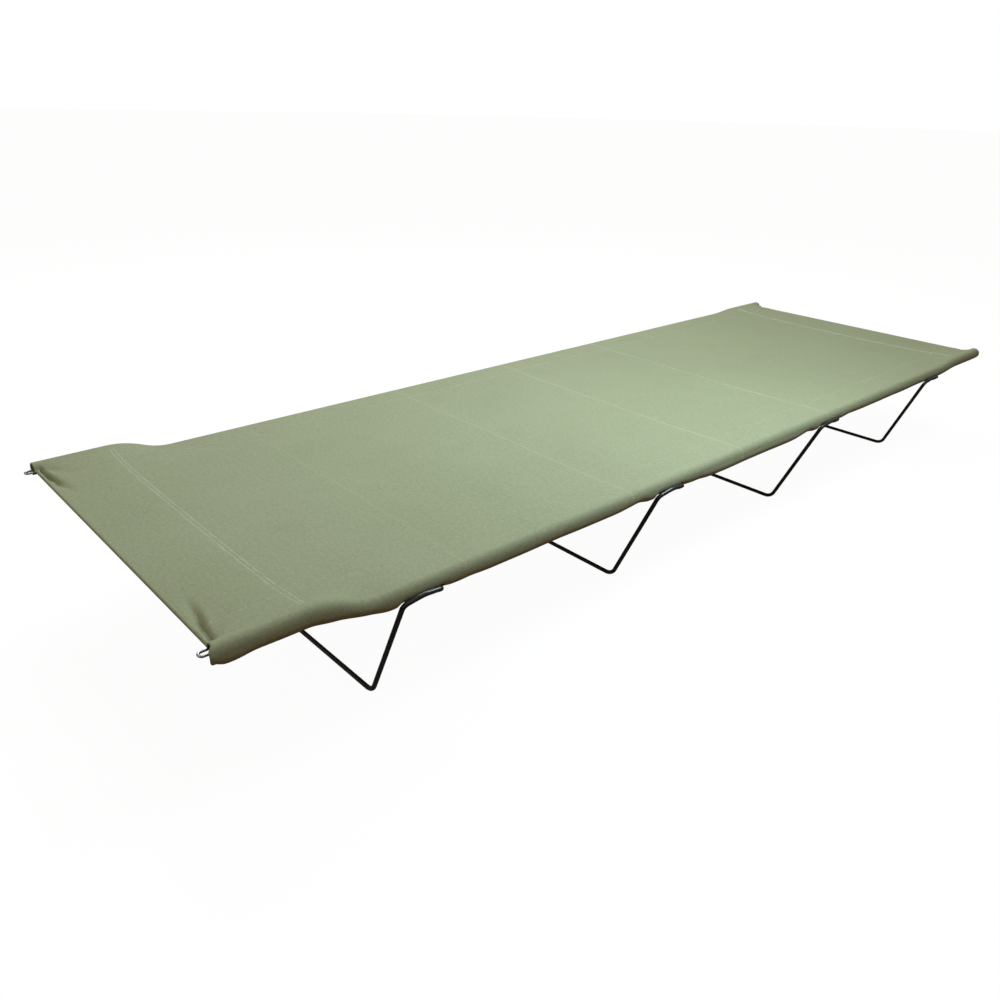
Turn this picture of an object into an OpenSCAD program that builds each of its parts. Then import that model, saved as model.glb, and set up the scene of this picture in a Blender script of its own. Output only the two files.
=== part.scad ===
// Low folding cot: a canvas bed stretched between two side poles, end rods and sprung wire legs.
// Millimetres. The origin is on the floor under the middle of the cot. +X runs from the head end
// to the foot end, +Z is up, and the near side is -Y.

/* [Bed] */
// Length of the canvas from head hem to foot hem
bed_length = 1900; // [1700:10:2100]
// Distance between the centre lines of the side poles
pole_gap = 596; // [520:2:680]
// Height of the side poles above the floor, at their centre line
pole_height = 184; // [150:1:240]
// How far the head end is raised
head_rise = 22; // [10:1:34]
// Length of the level part at the head end, which is also the depth of each hem
hem_depth = 108; // [90:1:140]
// Length of the ramp down from the head end
ramp_length = 102; // [90:1:140]
// How far the foot end is raised
foot_rise = 5; // [4:1:12]
// Length of the ramp up to the foot end
foot_ramp = 96; // [60:1:98]

/* [Canvas] */
// Thickness of the canvas
canvas_t = 1.2; // [0.8:0.1:2]
// Outside radius of the sleeve round a pole
sleeve_r = 12; // [11.8:0.1:14]
// Distance from a pole's centre line inwards to the sleeve's seam
seam_in = 48; // [36:1:70]

/* [Poles] */
// Outside diameter of the pole tube
pole_d = 20; // [18:0.5:20]
// Wall thickness of the pole tube
pole_wall = 1; // [0.8:0.1:1.5]
// How far the hem reaches past the pole's end
pole_recess = 12; // [12:1:20]
// Length of the spigot that joins two pole sections
spigot_length = 40; // [25:1:60]
// Thickness of the rim of an end plug
plug_rim = 3; // [2:0.5:4]
// How far an end plug reaches into the tube
plug_depth = 22; // [14:1:30]

/* [Legs] */
// Diameter of the leg rod
leg_d = 6.8; // [5:0.1:7]
// Distance from the head hem to the first leg
first_leg = 230; // [220:1:260]
// Distance from one leg to the next, for the first three
leg_spacing = 478; // [440:1:490]
// Distance from the third leg to the last
last_spacing = 430; // [400:1:440]
// How far the last leg's floor bar stands towards the foot end from its hooks
last_lean = 34; // [0:1:40]
// How far each floor bend stands in from the pole's centre line
foot_inset = 64; // [50:1:100]
// Centre-line radius of the bends at the floor
foot_bend = 20; // [10:1:24]
// Length of the arched lip that lies along the pole
lip_length = 58; // [50:1:66]
// How far the lip's two ends lie below the pole's centre line
lip_drop = 9; // [7:0.5:10]
// Rise of the lip from its first end to its middle
lip_rise = 6; // [4:0.5:7]

/* [End rods] */
// Diameter of the end rods
wire_d = 3.2; // [3:0.1:4]
// How far the hooks at the ends of a rod reach past the hem
hook_out = 13; // [11:1:18]
// Width of each hook
hook_width = 9; // [9:0.5:11]

/* [Hidden] */
$fn = 48;
olive = [0.60, 0.65, 0.53];
olive_dark = [0.50, 0.55, 0.43];
black_paint = [0.06, 0.06, 0.06];
zinc = [0.72, 0.73, 0.74];
plug_grey = [0.20, 0.20, 0.21];

running_gap = 0.05;
clear_gap = 0.35;
overlap = 0.5;
// A bend is a hair thicker than the straight lengths that are seated in it.
hair = 0.03;
seat = 0.3;

half_bed = bed_length / 2;
half_gap = pole_gap / 2;
head_height = pole_height + head_rise;
foot_height = pole_height + foot_rise;
leg_r = leg_d / 2;
near = -1;
far = 1;

// Each end of the bed is level, then a ramp with two equal bends leads down to the middle.
// A ramp's corners are where its straight lines would meet, at this share of its length.
corner_share = 0.235;
head_ramp_x = hem_depth - half_bed;
head_low_x = head_ramp_x + ramp_length;
foot_ramp_x = half_bed - hem_depth;
foot_low_x = foot_ramp_x - foot_ramp;
head_corners = [[head_ramp_x + corner_share * ramp_length, 0, head_height],
                [head_low_x - corner_share * ramp_length, 0, pole_height]];
foot_corners = [[foot_low_x + corner_share * foot_ramp, 0, pole_height],
                [foot_ramp_x - corner_share * foot_ramp, 0, foot_height]];
function ramp_angle(rise, length) = atan2(rise, length * (1 - 2 * corner_share));
function ramp_bend(rise, length) = corner_share * length / tan(ramp_angle(rise, length) / 2);

// Pole sections.
pole_start = pole_recess - half_bed;
pole_end = half_bed - pole_recess;
section = (pole_end - pole_start) / 3;
joint_1 = pole_start + section;
joint_2 = joint_1 + section;
bore_d = pole_d - 2 * pole_wall;
spigot_d = bore_d - 2 * running_gap;
spigot_bore = spigot_d - 2 * pole_wall;

// Vectors, and a frame at o whose x and z axes are given.
function unit(v) = v / norm(v);
function side_of(v) = abs(v[2]) < 0.9 ? unit(cross([0, 0, 1], v)) : unit(cross([1, 0, 0], v));
function turn_at(p, i) = acos(unit(p[i] - p[i - 1]) * unit(p[i + 1] - p[i]));
function inner(p, i) = i > 0 && i < len(p) - 1;
function cut_at(p, bends, i) = inner(p, i) ? bends[i] * tan(turn_at(p, i) / 2) : 0;

module place(o, x, z) {
    y = cross(z, x);
    multmatrix([[x[0], y[0], z[0], o[0]],
                [x[1], y[1], z[1], o[1]],
                [x[2], y[2], z[2], o[2]],
                [0, 0, 0, 1]]) children();
}

// A round bar along the points p, with a bend of radius bends[i] at each point between the ends.
// Each bend is thicker by a hair, and the straight lengths are seated in it.
module bent_bar(p, bends, d) {
    for (i = [0 : len(p) - 2]) {
        u = unit(p[i + 1] - p[i]);
        from = cut_at(p, bends, i) - (inner(p, i) ? seat : 0);
        to = cut_at(p, bends, i + 1) - (inner(p, i + 1) ? seat : 0);
        place(p[i] + u * from, side_of(u), u) cylinder(h = norm(p[i + 1] - p[i]) - from - to, d = d);
    }
    for (i = [1 : len(p) - 2]) {
        u = unit(p[i] - p[i - 1]);
        axis = unit(cross(u, p[i + 1] - p[i]));
        inward = cross(axis, u);
        centre = p[i] - u * cut_at(p, bends, i) + inward * bends[i];
        place(centre, -inward, axis)
            rotate_extrude(angle = turn_at(p, i)) translate([bends[i], 0]) circle(d = d + 2 * hair);
    }
}

// Outlines across the bed are lists of [across, height], measured from the poles' centre line.
// A profile is a function of how much thicker to draw it, and gives [outline, hole].
module outline(pair) {
    difference() {
        polygon(pair[0]);
        if (len(pair[1]) > 0) polygon(pair[1]);
    }
}

module level_run(profile, from_x, to_x, height) {
    place([from_x, 0, height], [0, 1, 0], [1, 0, 0])
        linear_extrude(to_x - from_x) outline(profile(0));
}

// A ramp in its own frame: it starts at the high end, at x = 0, and leads down along +X to z = 0.
module ramp_run(profile, rise, length) {
    angle = ramp_angle(rise, length);
    bend = ramp_bend(rise, length);
    corner = corner_share * length;
    slope = [cos(angle), 0, -sin(angle)];
    place([corner, 0, rise] + slope * (corner - seat), [0, 1, 0], slope)
        linear_extrude(rise / sin(angle) - 2 * (corner - seat)) outline(profile(0));
    over = [for (list = profile(hair)) [for (q = list) [bend + q[1], q[0]]]];
    under = [for (list = profile(hair)) [for (q = list) [bend - q[1], -q[0]]]];
    place([0, 0, rise - bend], [0, 0, 1], [0, 1, 0])
        rotate_extrude(angle = angle) outline(over);
    place([length, 0, bend], [0, 0, -1], [0, -1, 0])
        rotate([0, 0, -angle])
            rotate_extrude(angle = angle) outline(under);
}

module head_ramp(profile) {
    translate([head_ramp_x, 0, pole_height]) ramp_run(profile, head_rise, ramp_length);
}

// The foot ramp is turned round, so its profile is the one for the other side.
module foot_ramp_up(profile) {
    translate([foot_ramp_x, 0, pole_height]) rotate([0, 0, 180])
        ramp_run(profile, foot_rise, foot_ramp);
}

// Canvas.

// The sleeve starts at the seam, goes over the pole, round it and back up to the seam.
seam_drop = atan2(sleeve_r - canvas_t, seam_in);
wrap_end = 360 + seam_drop - acos(sleeve_r / norm([seam_in, sleeve_r - canvas_t]));
wrap_step = (wrap_end - 90) / 14;
function ring(r) = [for (i = [0 : 14]) [r * cos(90 + i * wrap_step), r * sin(90 + i * wrap_step)]];
function across(list, side) = [for (q = list) [side * (half_gap - q[0]), q[1]]];
function sleeve_outer(g) = concat([[seam_in + g, sleeve_r + g]], ring(sleeve_r + g),
                                  [[seam_in + g, sleeve_r - 2 * canvas_t - g]]);
function sleeve_space(g) = concat([[seam_in - 6, sleeve_r - canvas_t - g]],
                                  ring(sleeve_r - canvas_t - g));

// The hook of a leg needs a slot in the underside of the sleeve.
slot_before = leg_r + 3.2;
slot_after = leg_r + 1.6;
slot_in = 18.6;

function sleeve_profile(side) =
    function(g) [across(sleeve_outer(g), side), across(sleeve_space(g), side)];

// The sleeve is one piece of cloth, drawn in three lengths that meet where it is straight.
module sleeve_head(side) {
    color(olive_dark) difference() {
        union() {
            level_run(sleeve_profile(side), -half_bed, head_ramp_x + seat, head_height);
            head_ramp(sleeve_profile(side));
        }
        end_notch(side, -half_bed, head_height);
    }
}

module sleeve_middle(side) {
    color(olive_dark) difference() {
        level_run(sleeve_profile(side), head_low_x, foot_low_x, pole_height);
        for (i = [0 : 3]) leg_slot(side, hook_x(i));
    }
}

module sleeve_foot(side) {
    color(olive_dark) difference() {
        union() {
            foot_ramp_up(sleeve_profile(-side));
            level_run(sleeve_profile(side), foot_ramp_x - seat, half_bed, foot_height);
        }
        end_notch(side, half_bed, foot_height);
    }
}

module leg_slot(side, x) {
    y_low = side > 0 ? half_gap - slot_in : -half_gap - sleeve_r - 4;
    translate([x - slot_before, y_low, pole_height - 2 * sleeve_r])
        cube([slot_before + slot_after, slot_in + sleeve_r + 4, 2 * sleeve_r]);
}

// The underside of the sleeve stops short of the hem, where the end rod passes.
module end_notch(side, x, height) {
    inside = half_gap - seam_in - 1;
    y_low = side > 0 ? inside : -half_gap - 6;
    translate([x - 10, y_low, height - sleeve_r - 1])
        cube([20, seam_in + 7, sleeve_r + 1 + wire_d]);
}

panel_half = half_gap - seam_in;
panel_steps = 8;

// Points [x, z] of a bend round the centre c at radius r, from angle a to angle b off the
// vertical. up is 1 above the centre and -1 below it, way is 1 towards the foot and -1 the other.
function bend_points(c, r, a, b, up, way) = [
    for (i = [0 : panel_steps])
        let (t = a + (b - a) * i / panel_steps) c + r * [way * sin(t), up * cos(t)]];

// The side view of the bed from seam to seam, h above the poles' centre line. Between the seams
// the canvas is drawn in two lengths that meet at the foot of the foot ramp.
function panel_line(h) =
    let (a = ramp_angle(head_rise, ramp_length), r = ramp_bend(head_rise, ramp_length))
    concat(bend_points([head_ramp_x, head_height - r], r + h, 0, a, 1, 1),
           bend_points([head_low_x, pole_height + r], r - h, a, 0, -1, -1),
           [[foot_low_x, pole_height + h]]);
function foot_line(h) =
    let (b = ramp_angle(foot_rise, foot_ramp), s = ramp_bend(foot_rise, foot_ramp))
    concat(bend_points([foot_low_x, pole_height + s], s - h, 0, b, -1, 1),
           bend_points([foot_ramp_x, foot_height - s], s + h, b, 0, 1, -1));

module seam_to_seam(top, below) {
    last = len(below) - 1;
    color(olive) translate([0, panel_half, 0]) rotate([90, 0, 0]) linear_extrude(2 * panel_half)
        polygon(concat(top, [for (i = [0 : last]) below[last - i]]));
}

module canvas_panel() {
    seam_to_seam(panel_line(sleeve_r), panel_line(sleeve_r - canvas_t));
}

module canvas_foot() {
    seam_to_seam(foot_line(sleeve_r), foot_line(sleeve_r - canvas_t));
}

// A hem is a double layer that drops to the end rod and wraps round it.
rod_in = 4;
hem_wall = 1.1;
hem_r = wire_d / 2 + running_gap + hem_wall;
hem_flat = 62;

module hem(height, direction) {
    low = sleeve_r - 2 * canvas_t;
    nose = half_bed - rod_in;
    profile = [[half_bed - hem_depth, sleeve_r], [half_bed - hem_flat, sleeve_r],
               [nose - 1, hem_r + 0.4], [nose + 2, hem_r - 0.4], [half_bed, 0],
               [nose + 2, 0.4 - hem_r], [nose - 3, 0.4 - hem_r], [half_bed - hem_flat, low],
               [half_bed - hem_depth, low]];
    placed = [for (q = profile) [direction * q[0], q[1]]];
    color(olive) difference() {
        translate([0, panel_half, height]) rotate([90, 0, 0])
            linear_extrude(2 * panel_half) polygon(placed);
        translate([direction * nose, panel_half + 1, height]) rotate([90, 0, 0])
            cylinder(h = 2 * panel_half + 2, d = wire_d + 2 * running_gap);
    }
}

module head_hem() {
    hem(head_height, -1);
}

module foot_hem() {
    hem(foot_height, 1);
}

// Poles: three tube sections a side, each spigot pushed into the next tube.

module head_section(side) {
    y = [0, side * half_gap, 0];
    start = [pole_start, 0, head_height];
    end = [joint_1, 0, pole_height];
    bend = ramp_bend(head_rise, ramp_length);
    line = [start, head_corners[0], head_corners[1], end];
    bore = [start - [1, 0, 0], head_corners[0], head_corners[1], end - [1, 0, 0]];
    color(zinc) difference() {
        union() {
            bent_bar([for (q = line) q + y], [0, bend, bend, 0], pole_d);
            along_x(side, joint_1 - overlap, spigot_length + overlap, spigot_d);
        }
        bent_bar([for (q = bore) q + y], [0, bend, bend, 0], bore_d);
        along_x(side, joint_1 - 2, spigot_length + 3, spigot_bore);
    }
}

module along_x(side, x, length, d) {
    translate([x, side * half_gap, pole_height]) rotate([0, 90, 0]) cylinder(h = length, d = d);
}

module middle_section(side) {
    color(zinc) difference() {
        union() {
            along_x(side, joint_1, section, pole_d);
            along_x(side, joint_2 - overlap, spigot_length + overlap, spigot_d);
        }
        along_x(side, joint_1 - 1, section, bore_d);
        along_x(side, joint_2 - 2, spigot_length + 3, spigot_bore);
    }
}

module foot_section(side) {
    y = [0, side * half_gap, 0];
    start = [joint_2, 0, pole_height];
    end = [pole_end, 0, foot_height];
    bend = ramp_bend(foot_rise, foot_ramp);
    line = [start, foot_corners[0], foot_corners[1], end];
    bore = [start - [1, 0, 0], foot_corners[0], foot_corners[1], end + [1, 0, 0]];
    color(zinc) difference() {
        bent_bar([for (q = line) q + y], [0, bend, bend, 0], pole_d);
        bent_bar([for (q = bore) q + y], [0, bend, bend, 0], bore_d);
    }
}

module end_plug(side, x, height, direction) {
    color(plug_grey) translate([x, side * half_gap, height]) rotate([0, 90 * direction, 0])
        difference() {
            union() {
                cylinder(h = plug_rim, d = pole_d);
                translate([0, 0, -plug_depth])
                    cylinder(h = plug_depth + overlap, d = bore_d - 2 * running_gap);
            }
            translate([0, 0, -plug_depth - 1])
                cylinder(h = plug_depth + plug_rim + 2, d = wire_d + 2 * running_gap);
        }
}

// End rods: a wire through the hem, with each end hooked back into a pole's plug.

module end_rod(height, direction) {
    rod_x = half_bed - rod_in;
    out_x = half_bed + hook_out - wire_d / 2;
    turn_y = half_gap - hook_width;
    pin_x = pole_end - plug_depth + 2;
    half = [[rod_x, turn_y], [out_x, turn_y], [out_x, half_gap], [pin_x, half_gap]];
    last = len(half) - 1;
    points = concat([for (i = [0 : last]) [direction * half[last - i][0], half[last - i][1], height]],
                    [for (q = half) [direction * q[0], -q[1], height]]);
    bend = hook_width / 2 - 0.1;
    color(zinc) bent_bar(points, [for (q = points) bend], wire_d);
}

// Legs: a rod bent to a flat-bottomed U whose two ends hook round the poles.

wrap_r = pole_d / 2 + clear_gap + leg_r;
lip_r = sleeve_r + clear_gap + leg_r + 0.5;
dive_drop = lip_drop - 3.5;
function lip_out(drop) = sqrt(lip_r * lip_r - drop * drop);
dive_angle = atan2(dive_drop, lip_out(dive_drop)) + acos(wrap_r / lip_r);
under_in = wrap_r * tan((90 - dive_angle) / 2);
hook_tip = 3;
function leg_x(i) = first_leg - half_bed + min(i, 2) * leg_spacing + (i == 3 ? last_spacing : 0);
function hook_x(i) = leg_x(i) + lip_length;

// Points of one side, from the floor bend up: [x, out from the pole's centre line, height].
function leg_side(x, lean, side) = [
    for (q = [[x + lean, -foot_inset, leg_r - pole_height],
              [x, lip_out(lip_drop), -lip_drop],
              [x + lip_length / 2, lip_out(lip_drop - lip_rise), lip_rise - lip_drop],
              [x + lip_length, lip_out(dive_drop), -dive_drop],
              [x + lip_length, under_in, -wrap_r],
              [x + lip_length, -wrap_r, -wrap_r],
              [x + lip_length, -wrap_r, hook_tip]])
        [q[0], side * (half_gap + q[1]), pole_height + q[2]]];
side_bends = [foot_bend, 9, 48, 6.6, wrap_r - 0.1, wrap_r - 0.1, 0];

module leg(i) {
    lean = i == 3 ? last_lean : 0;
    far_side = leg_side(leg_x(i), lean, far);
    last = len(far_side) - 1;
    points = concat([for (k = [0 : last]) far_side[last - k]], leg_side(leg_x(i), lean, near));
    bends = concat([for (k = [0 : last]) side_bends[last - k]], side_bends);
    color(black_paint) bent_bar(points, bends, leg_d);
}

canvas_panel();
canvas_foot();
sleeve_head(near);  // near_sleeve_head
sleeve_middle(near);  // near_sleeve_middle
sleeve_foot(near);  // near_sleeve_foot
sleeve_head(far);  // far_sleeve_head
sleeve_middle(far);  // far_sleeve_middle
sleeve_foot(far);  // far_sleeve_foot
head_hem();
foot_hem();
head_section(near);  // near_pole_head
middle_section(near);  // near_pole_middle
foot_section(near);  // near_pole_foot
head_section(far);  // far_pole_head
middle_section(far);  // far_pole_middle
foot_section(far);  // far_pole_foot
end_plug(near, pole_start, head_height, -1);  // near_head_plug
end_plug(near, pole_end, foot_height, 1);  // near_foot_plug
end_plug(far, pole_start, head_height, -1);  // far_head_plug
end_plug(far, pole_end, foot_height, 1);  // far_foot_plug
end_rod(head_height, -1);  // head_end_rod
end_rod(foot_height, 1);  // foot_end_rod
leg(0);  // leg_1
leg(1);  // leg_2
leg(2);  // leg_3
leg(3);  // leg_4
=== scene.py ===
import math
import bpy
import numpy as np
from mathutils import Matrix, Vector


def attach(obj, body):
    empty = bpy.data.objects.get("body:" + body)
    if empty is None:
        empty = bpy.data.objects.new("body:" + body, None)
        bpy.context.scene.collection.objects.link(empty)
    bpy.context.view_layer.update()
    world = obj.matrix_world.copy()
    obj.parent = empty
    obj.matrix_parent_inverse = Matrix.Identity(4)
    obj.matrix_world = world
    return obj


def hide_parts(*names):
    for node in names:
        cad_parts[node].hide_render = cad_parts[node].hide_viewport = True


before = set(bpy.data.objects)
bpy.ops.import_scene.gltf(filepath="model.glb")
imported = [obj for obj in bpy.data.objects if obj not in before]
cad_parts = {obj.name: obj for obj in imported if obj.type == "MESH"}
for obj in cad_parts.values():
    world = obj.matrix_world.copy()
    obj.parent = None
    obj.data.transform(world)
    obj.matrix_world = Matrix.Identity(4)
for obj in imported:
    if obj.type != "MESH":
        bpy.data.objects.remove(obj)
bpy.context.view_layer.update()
rng = np.random.default_rng(7)

# ---------------------------------------------------------------- sizes, as the CAD has them
HALF_BED = 0.950
HALF_GAP = 0.298        # from the bed's middle line to a pole's
POLE_Z = 0.184
HEAD_RISE, HEAD_RAMP = 0.022, 0.102
FOOT_RISE, FOOT_RAMP = 0.005, 0.096
HEM = 0.108
HEM_START = HALF_BED - HEM
CORNER_SHARE = 0.235    # how much of a ramp's length each of its two corners takes
ROD_X = 0.946
SEAM_Y = 0.250
HEM_Y = 0.283           # the hem's folded part ends here, short of the pole
LEG_X = [-0.720, -0.242, 0.236, 0.666]
HOOK_X = [x + 0.058 for x in LEG_X]
SLOT_BEFORE, SLOT_AFTER = 0.0066, 0.005
ROW_GAP = 0.0055        # between a hem's two rows of stitches

# Fold lines left by the imported cot: where each is, and how strong, in height and in the painted
# highlight along its ridge.
CREASES = [(-0.620, 0.38), (-0.300, 0.8), (-0.020, 1.1), (0.262, 1.2), (0.545, 0.35)]

# Each corner's valley fold, by end and side: depth, then its distance from the rod's line as
# start + slope * y + curve * y * y.
CORNER_FOLDS = {(-1, -1): (1.0, 0.0035, 0.125, 0.35), (-1, 1): (1.0, 0.0020, 0.020, 1.30),
                (1, -1): (0.45, 0.0035, 0.125, 0.35), (1, 1): (0.5, 0.0020, 0.060, 0.80)}

CLOTH = 0.0009          # thickness
LAYERS = 0.00108        # from the middle of one layer to the middle of the next
RING = 0.0113           # radius of the cloth round a pole
HEM_RING = 0.0022       # and round an end rod
WRAP_END = 294.0        # degrees round the pole at which the cloth leaves it for the seam


def ramp(u, rise, length):
    """Height above the level part, and downward slope, u past the high end of a ramp."""
    angle = math.atan2(rise, length * (1 - 2 * CORNER_SHARE))
    bend = CORNER_SHARE * length / math.tan(angle / 2)
    reach = bend * math.sin(angle)
    u = np.clip(u, 0, length)
    v = length - u
    top = rise - bend + np.sqrt(np.maximum(bend ** 2 - u ** 2, 0))
    low = bend - np.sqrt(np.maximum(bend ** 2 - v ** 2, 0))
    line = rise - bend * (1 - math.cos(angle)) - (u - reach) * math.tan(angle)
    z = np.where(u <= reach, top, np.where(v <= reach, low, line))
    slope = np.where(u <= reach, np.arcsin(np.minimum(u / bend, 1)),
                     np.where(v <= reach, np.arcsin(np.minimum(v / bend, 1)), angle))
    return z, slope


def pole_line(x):
    """Height of the poles' centre line at x, and how far its upward normal leans to +X."""
    x = np.asarray(x, float)
    zh, sh = ramp(x + HALF_BED - HEM, HEAD_RISE, HEAD_RAMP)
    zf, sf = ramp(HALF_BED - HEM - x, FOOT_RISE, FOOT_RAMP)
    return POLE_Z + np.where(x < 0, zh, zf), np.where(x < 0, sh, -sf)


def smooth(t):
    t = np.clip(t, 0, 1)
    return t * t * (3 - 2 * t)


def wobble(x, seed, scales, sizes):
    """A smooth random curve of x: a few sines of the given wavelengths and sizes."""
    r = np.random.default_rng(seed)
    out = np.zeros_like(np.asarray(x, float))
    for w, a in zip(scales, sizes):
        out = out + a * np.sin(2 * np.pi * x / w + r.uniform(0, 6.28))
    return out


# ---------------------------------------------------------------- the camera, first
cam_data = bpy.data.cameras.new("camera")
cam = bpy.data.objects.new("camera", cam_data)
bpy.context.scene.collection.objects.link(cam)
right = Vector((0.7455, -0.6662, 0.0216))
up = Vector((0.2734, 0.3352, 0.9016))
back = Vector((-0.6079, -0.6662, 0.4320))
cam.matrix_world = Matrix(((right.x, up.x, back.x, -1.221),
                           (right.y, up.y, back.y, -1.026),
                           (right.z, up.z, back.z, 0.732),
                           (0, 0, 0, 1)))
cam_data.sensor_width = 36
cam_data.sensor_fit = "HORIZONTAL"
cam_data.lens = 31.007
cam_data.clip_start = 0.02
cam_data.clip_end = 60
bpy.context.scene.camera = cam

# ---------------------------------------------------------------- the canvas, one sewn sheet
# Rows run across the bed, and columns along it. Some rows have to lie exactly on a seam, a slot's
# edge or a crease, and the others are closest together where the shape changes most.
marks = [-ROD_X, ROD_X, -0.940, 0.940]
marks += [s * v for s in (-1, 1) for v in (HEM_START, HEM_START - ROW_GAP)]
for hx in HOOK_X:
    marks += [hx - SLOT_BEFORE, hx + SLOT_AFTER]
marks += [c for c, _ in CREASES]


def row_spacing(x):
    near_end = min(abs(x + ROD_X), abs(x - ROD_X))
    if near_end < 0.024:
        return 0.0013
    if near_end < 0.13:
        return 0.0028
    if min(abs(x - c) for c, _ in CREASES) < 0.015:
        return 0.0024
    return 0.003 if min(abs(x - h) for h in HOOK_X + LEG_X) < 0.02 else 0.0052


plain = []
x = -ROD_X
while x < ROD_X:
    plain.append(x)
    x += row_spacing(x)
plain = [p for p in plain if min(abs(p - m) for m in marks) > 0.0011]
row_c = np.array(sorted(set(plain + marks)))
axis_z, lean = pole_line(row_c)
row_x = row_c + RING * np.sin(lean)
side_z = axis_z + RING * np.cos(lean)

# Half of the top layer, from the middle out to the top of the pole.
col_y = np.concatenate([np.linspace(0, 0.222, 19)[:-1], np.linspace(0.222, 0.244, 6)[:-1],
                        [0.244, 0.2465, 0.2485, SEAM_Y, 0.2515, 0.2535, 0.2565, 0.2605, 0.265, 0.2695,
                         0.2735, 0.277, 0.280, HEM_Y, 0.2852, 0.2870, 0.2885, 0.2903, 0.2925,
                         0.2952, HALF_GAP]])


def ring_floor(y):
    """Height of the sleeve's ring above the pole's centre line, at y, and far below it elsewhere."""
    q = HALF_GAP - y
    return np.sqrt(np.maximum(RING ** 2 - q ** 2, 0)) - 10.0 * (q > RING)


def solve_membrane():
    """A stretched sheet held along the poles and on the end rods, with a little sag."""
    n, m = len(row_x), len(col_y)
    end_line = np.where(col_y <= HEM_Y + 0.0041, HEM_RING, 0)
    end_line = np.maximum(end_line, ring_floor(col_y))
    floor = axis_z[:, None] + ring_floor(col_y)[None, :]
    blend_end = np.minimum(np.abs(row_x + ROD_X), np.abs(row_x - ROD_X))
    t = smooth(blend_end / 0.16)[:, None]
    z = t * np.repeat(side_z[:, None], m, 1) + (1 - t) * (axis_z[:, None] + end_line[None, :])
    z[:, -1] = side_z
    z[0] = axis_z[0] + end_line
    z[-1] = axis_z[-1] + end_line
    hx, hy = np.diff(row_x), np.diff(col_y)
    pull = 1.15         # the sheet is tighter along the bed than across it
    aw = pull * 2 / (hx[:-1] * (hx[:-1] + hx[1:]))
    ae = pull * 2 / (hx[1:] * (hx[:-1] + hx[1:]))
    bs = 2 / (hy[:-1] * (hy[:-1] + hy[1:]))
    bn = 2 / (hy[1:] * (hy[:-1] + hy[1:]))
    bs = np.concatenate([[0], bs])
    bn = np.concatenate([[2 / hy[0] ** 2], bn])
    total = (aw + ae)[:, None] + (bs + bn)[None, :]
    load = 0.055
    relax = 1.93
    ii, jj = np.meshgrid(np.arange(1, n - 1), np.arange(m - 1), indexing="ij")
    colour = (ii + jj) % 2
    for _ in range(1400):
        for c in (0, 1):
            south = np.concatenate([z[1:-1, :1], z[1:-1, :-2]], axis=1)
            new = (aw[:, None] * z[:-2, :-1] + ae[:, None] * z[2:, :-1]
                   + bs[None, :] * south + bn[None, :] * z[1:-1, 1:] - load) / total
            new = z[1:-1, :-1] + relax * (new - z[1:-1, :-1])
            new = np.maximum(new, floor[1:-1, :-1])
            z[1:-1, :-1] = np.where(colour == c, new, z[1:-1, :-1])
    return z


half_z = solve_membrane()


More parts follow.
